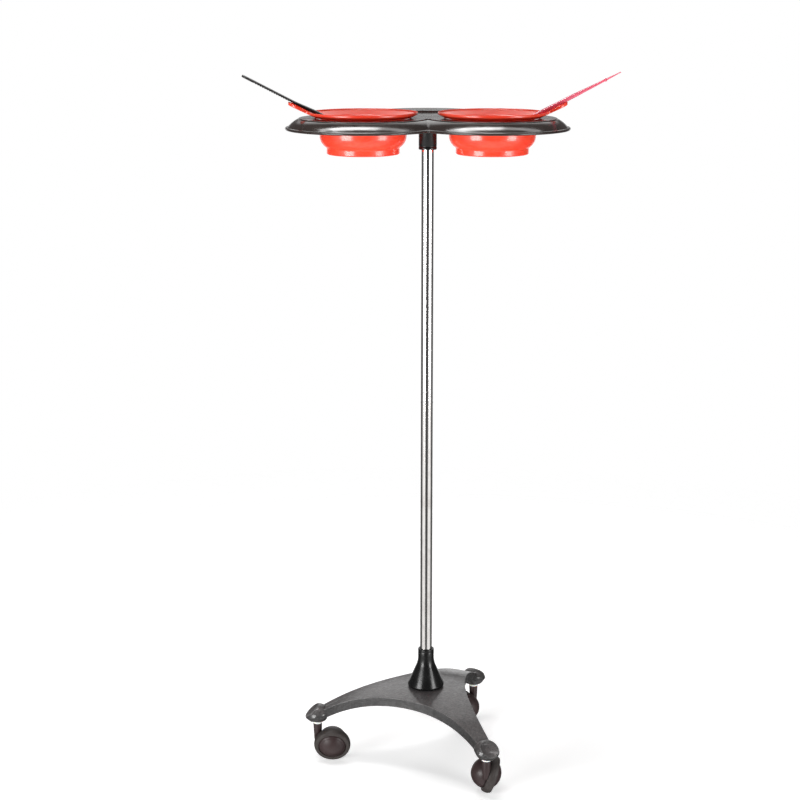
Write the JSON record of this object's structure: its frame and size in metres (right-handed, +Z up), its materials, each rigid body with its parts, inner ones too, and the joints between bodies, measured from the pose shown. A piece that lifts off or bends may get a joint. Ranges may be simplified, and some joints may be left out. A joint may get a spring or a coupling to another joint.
{
  "type": "hair colour bowl trolley",
  "caption": "Rolling salon stand whose lobed tray holds red hair-colour bowls, each with a resting tint brush, on a chromed pole over a legged base with ball casters.",
  "frame": {"origin": "on the floor, in the middle of the whole stand's footprint as seen from above; the pole's axis stands 32 mm in front of it, at x = 0, y = -0.032", "axes": "+Z up along the pole; +X to the right and +Y to the back for somebody who faces the bowls with the dryer hole behind them"},
  "size_m": [0.481, 0.349, 0.934],
  "materials": {
    "grey_hammer_enamel": "hammered satin enamel over a casting",
    "black_plastic": "glossy injection-moulded",
    "chrome_tube": "bright plated",
    "satin_tube": "plated, slightly satin",
    "zinc_steel": "bright zinc plated",
    "tray_plastic": "glossy dark graphite brown",
    "bowl_plastic": "glossy, slightly translucent red",
    "black_brush_plastic": "glossy",
    "pink_brush_plastic": "clear tinted pink",
    "black_nylon": "nylon filament",
    "clear_nylon": "nylon filament",
    "collar_nylon": "white acetal",
    "hood_plastic": "satin dark brown",
    "tread_rubber": "matt dark grey brown"
  },
  "bodies": {
    "stand": {"base_plate": "grey_hammer_enamel", "base_washer": "zinc_steel", "base_bolt": "zinc_steel", "bell_cover": "black_plastic", "foot_insert": "zinc_steel", "lower_tube": "satin_tube", "tube_joiner": "chrome_tube", "joiner_insert": "zinc_steel", "upper_tube": "chrome_tube", "tray_socket": "black_plastic", "tray_screws": "zinc_steel", "tray": "tray_plastic", "left_stem": "zinc_steel", "left_collar": "collar_nylon", "front_stem": "zinc_steel", "front_collar": "collar_nylon", "rear_stem": "zinc_steel", "rear_collar": "collar_nylon"},
    "left_caster": {"left_hood": "hood_plastic", "left_axle": "zinc_steel"},
    "left_roller": {"left_wheel": "hood_plastic", "left_tread": "tread_rubber", "left_dome": "hood_plastic"},
    "front_caster": {"front_hood": "hood_plastic", "front_axle": "zinc_steel"},
    "front_roller": {"front_wheel": "hood_plastic", "front_tread": "tread_rubber", "front_dome": "hood_plastic"},
    "rear_caster": {"rear_hood": "hood_plastic", "rear_axle": "zinc_steel"},
    "rear_roller": {"rear_wheel": "hood_plastic", "rear_tread": "tread_rubber", "rear_dome": "hood_plastic"},
    "left_bowl": {"left_bowl": "bowl_plastic"},
    "left_brush": {"left_brush_handle": "black_brush_plastic", "left_brush_bristles": "black_nylon"},
    "right_bowl": {"right_bowl": "bowl_plastic"},
    "right_brush": {"right_brush_handle": "pink_brush_plastic", "right_brush_bristles": "clear_nylon"}
  },
  "joints": [
    {"name": "left_swivel", "type": "hinge", "parent": "stand", "child": "left_caster", "pos_m": [-0.14845, -0.03589, 0.054], "axis": [0, 0, 1], "continuous": true},
    {"name": "left_roll", "type": "hinge", "parent": "left_caster", "child": "left_roller", "pos_m": [-0.12845, -0.04249, 0.02436], "axis": [0, -0.9511, -0.309], "continuous": true},
    {"name": "front_swivel", "type": "hinge", "parent": "stand", "child": "front_caster", "pos_m": [0.07759, -0.15862, 0.054], "axis": [0, 0, 1], "continuous": true},
    {"name": "front_roll", "type": "hinge", "parent": "front_caster", "child": "front_roller", "pos_m": [0.08419, -0.13862, 0.02436], "axis": [0.9511, 0, -0.309], "continuous": true},
    {"name": "rear_swivel", "type": "hinge", "parent": "stand", "child": "rear_caster", "pos_m": [0.07086, 0.0985, 0.054], "axis": [0, 0, 1], "continuous": true},
    {"name": "rear_roll", "type": "hinge", "parent": "rear_caster", "child": "rear_roller", "pos_m": [0.05398, 0.08591, 0.02436], "axis": [-0.7791, 0.5455, -0.309], "continuous": true},
    {"name": "left_bowl_lift", "type": "slide", "parent": "stand", "child": "left_bowl", "axis": [0, 0, 1], "range_m": [0, 0.08]},
    {"name": "left_brush_lift", "type": "slide", "parent": "left_bowl", "child": "left_brush", "axis": [0, 0, 1], "range_m": [0, 0.08]},
    {"name": "right_bowl_lift", "type": "slide", "parent": "stand", "child": "right_bowl", "axis": [0, 0, 1], "range_m": [0, 0.08]},
    {"name": "right_brush_lift", "type": "slide", "parent": "right_bowl", "child": "right_brush", "axis": [0, 0, 1], "range_m": [0, 0.08]}
  ]
}
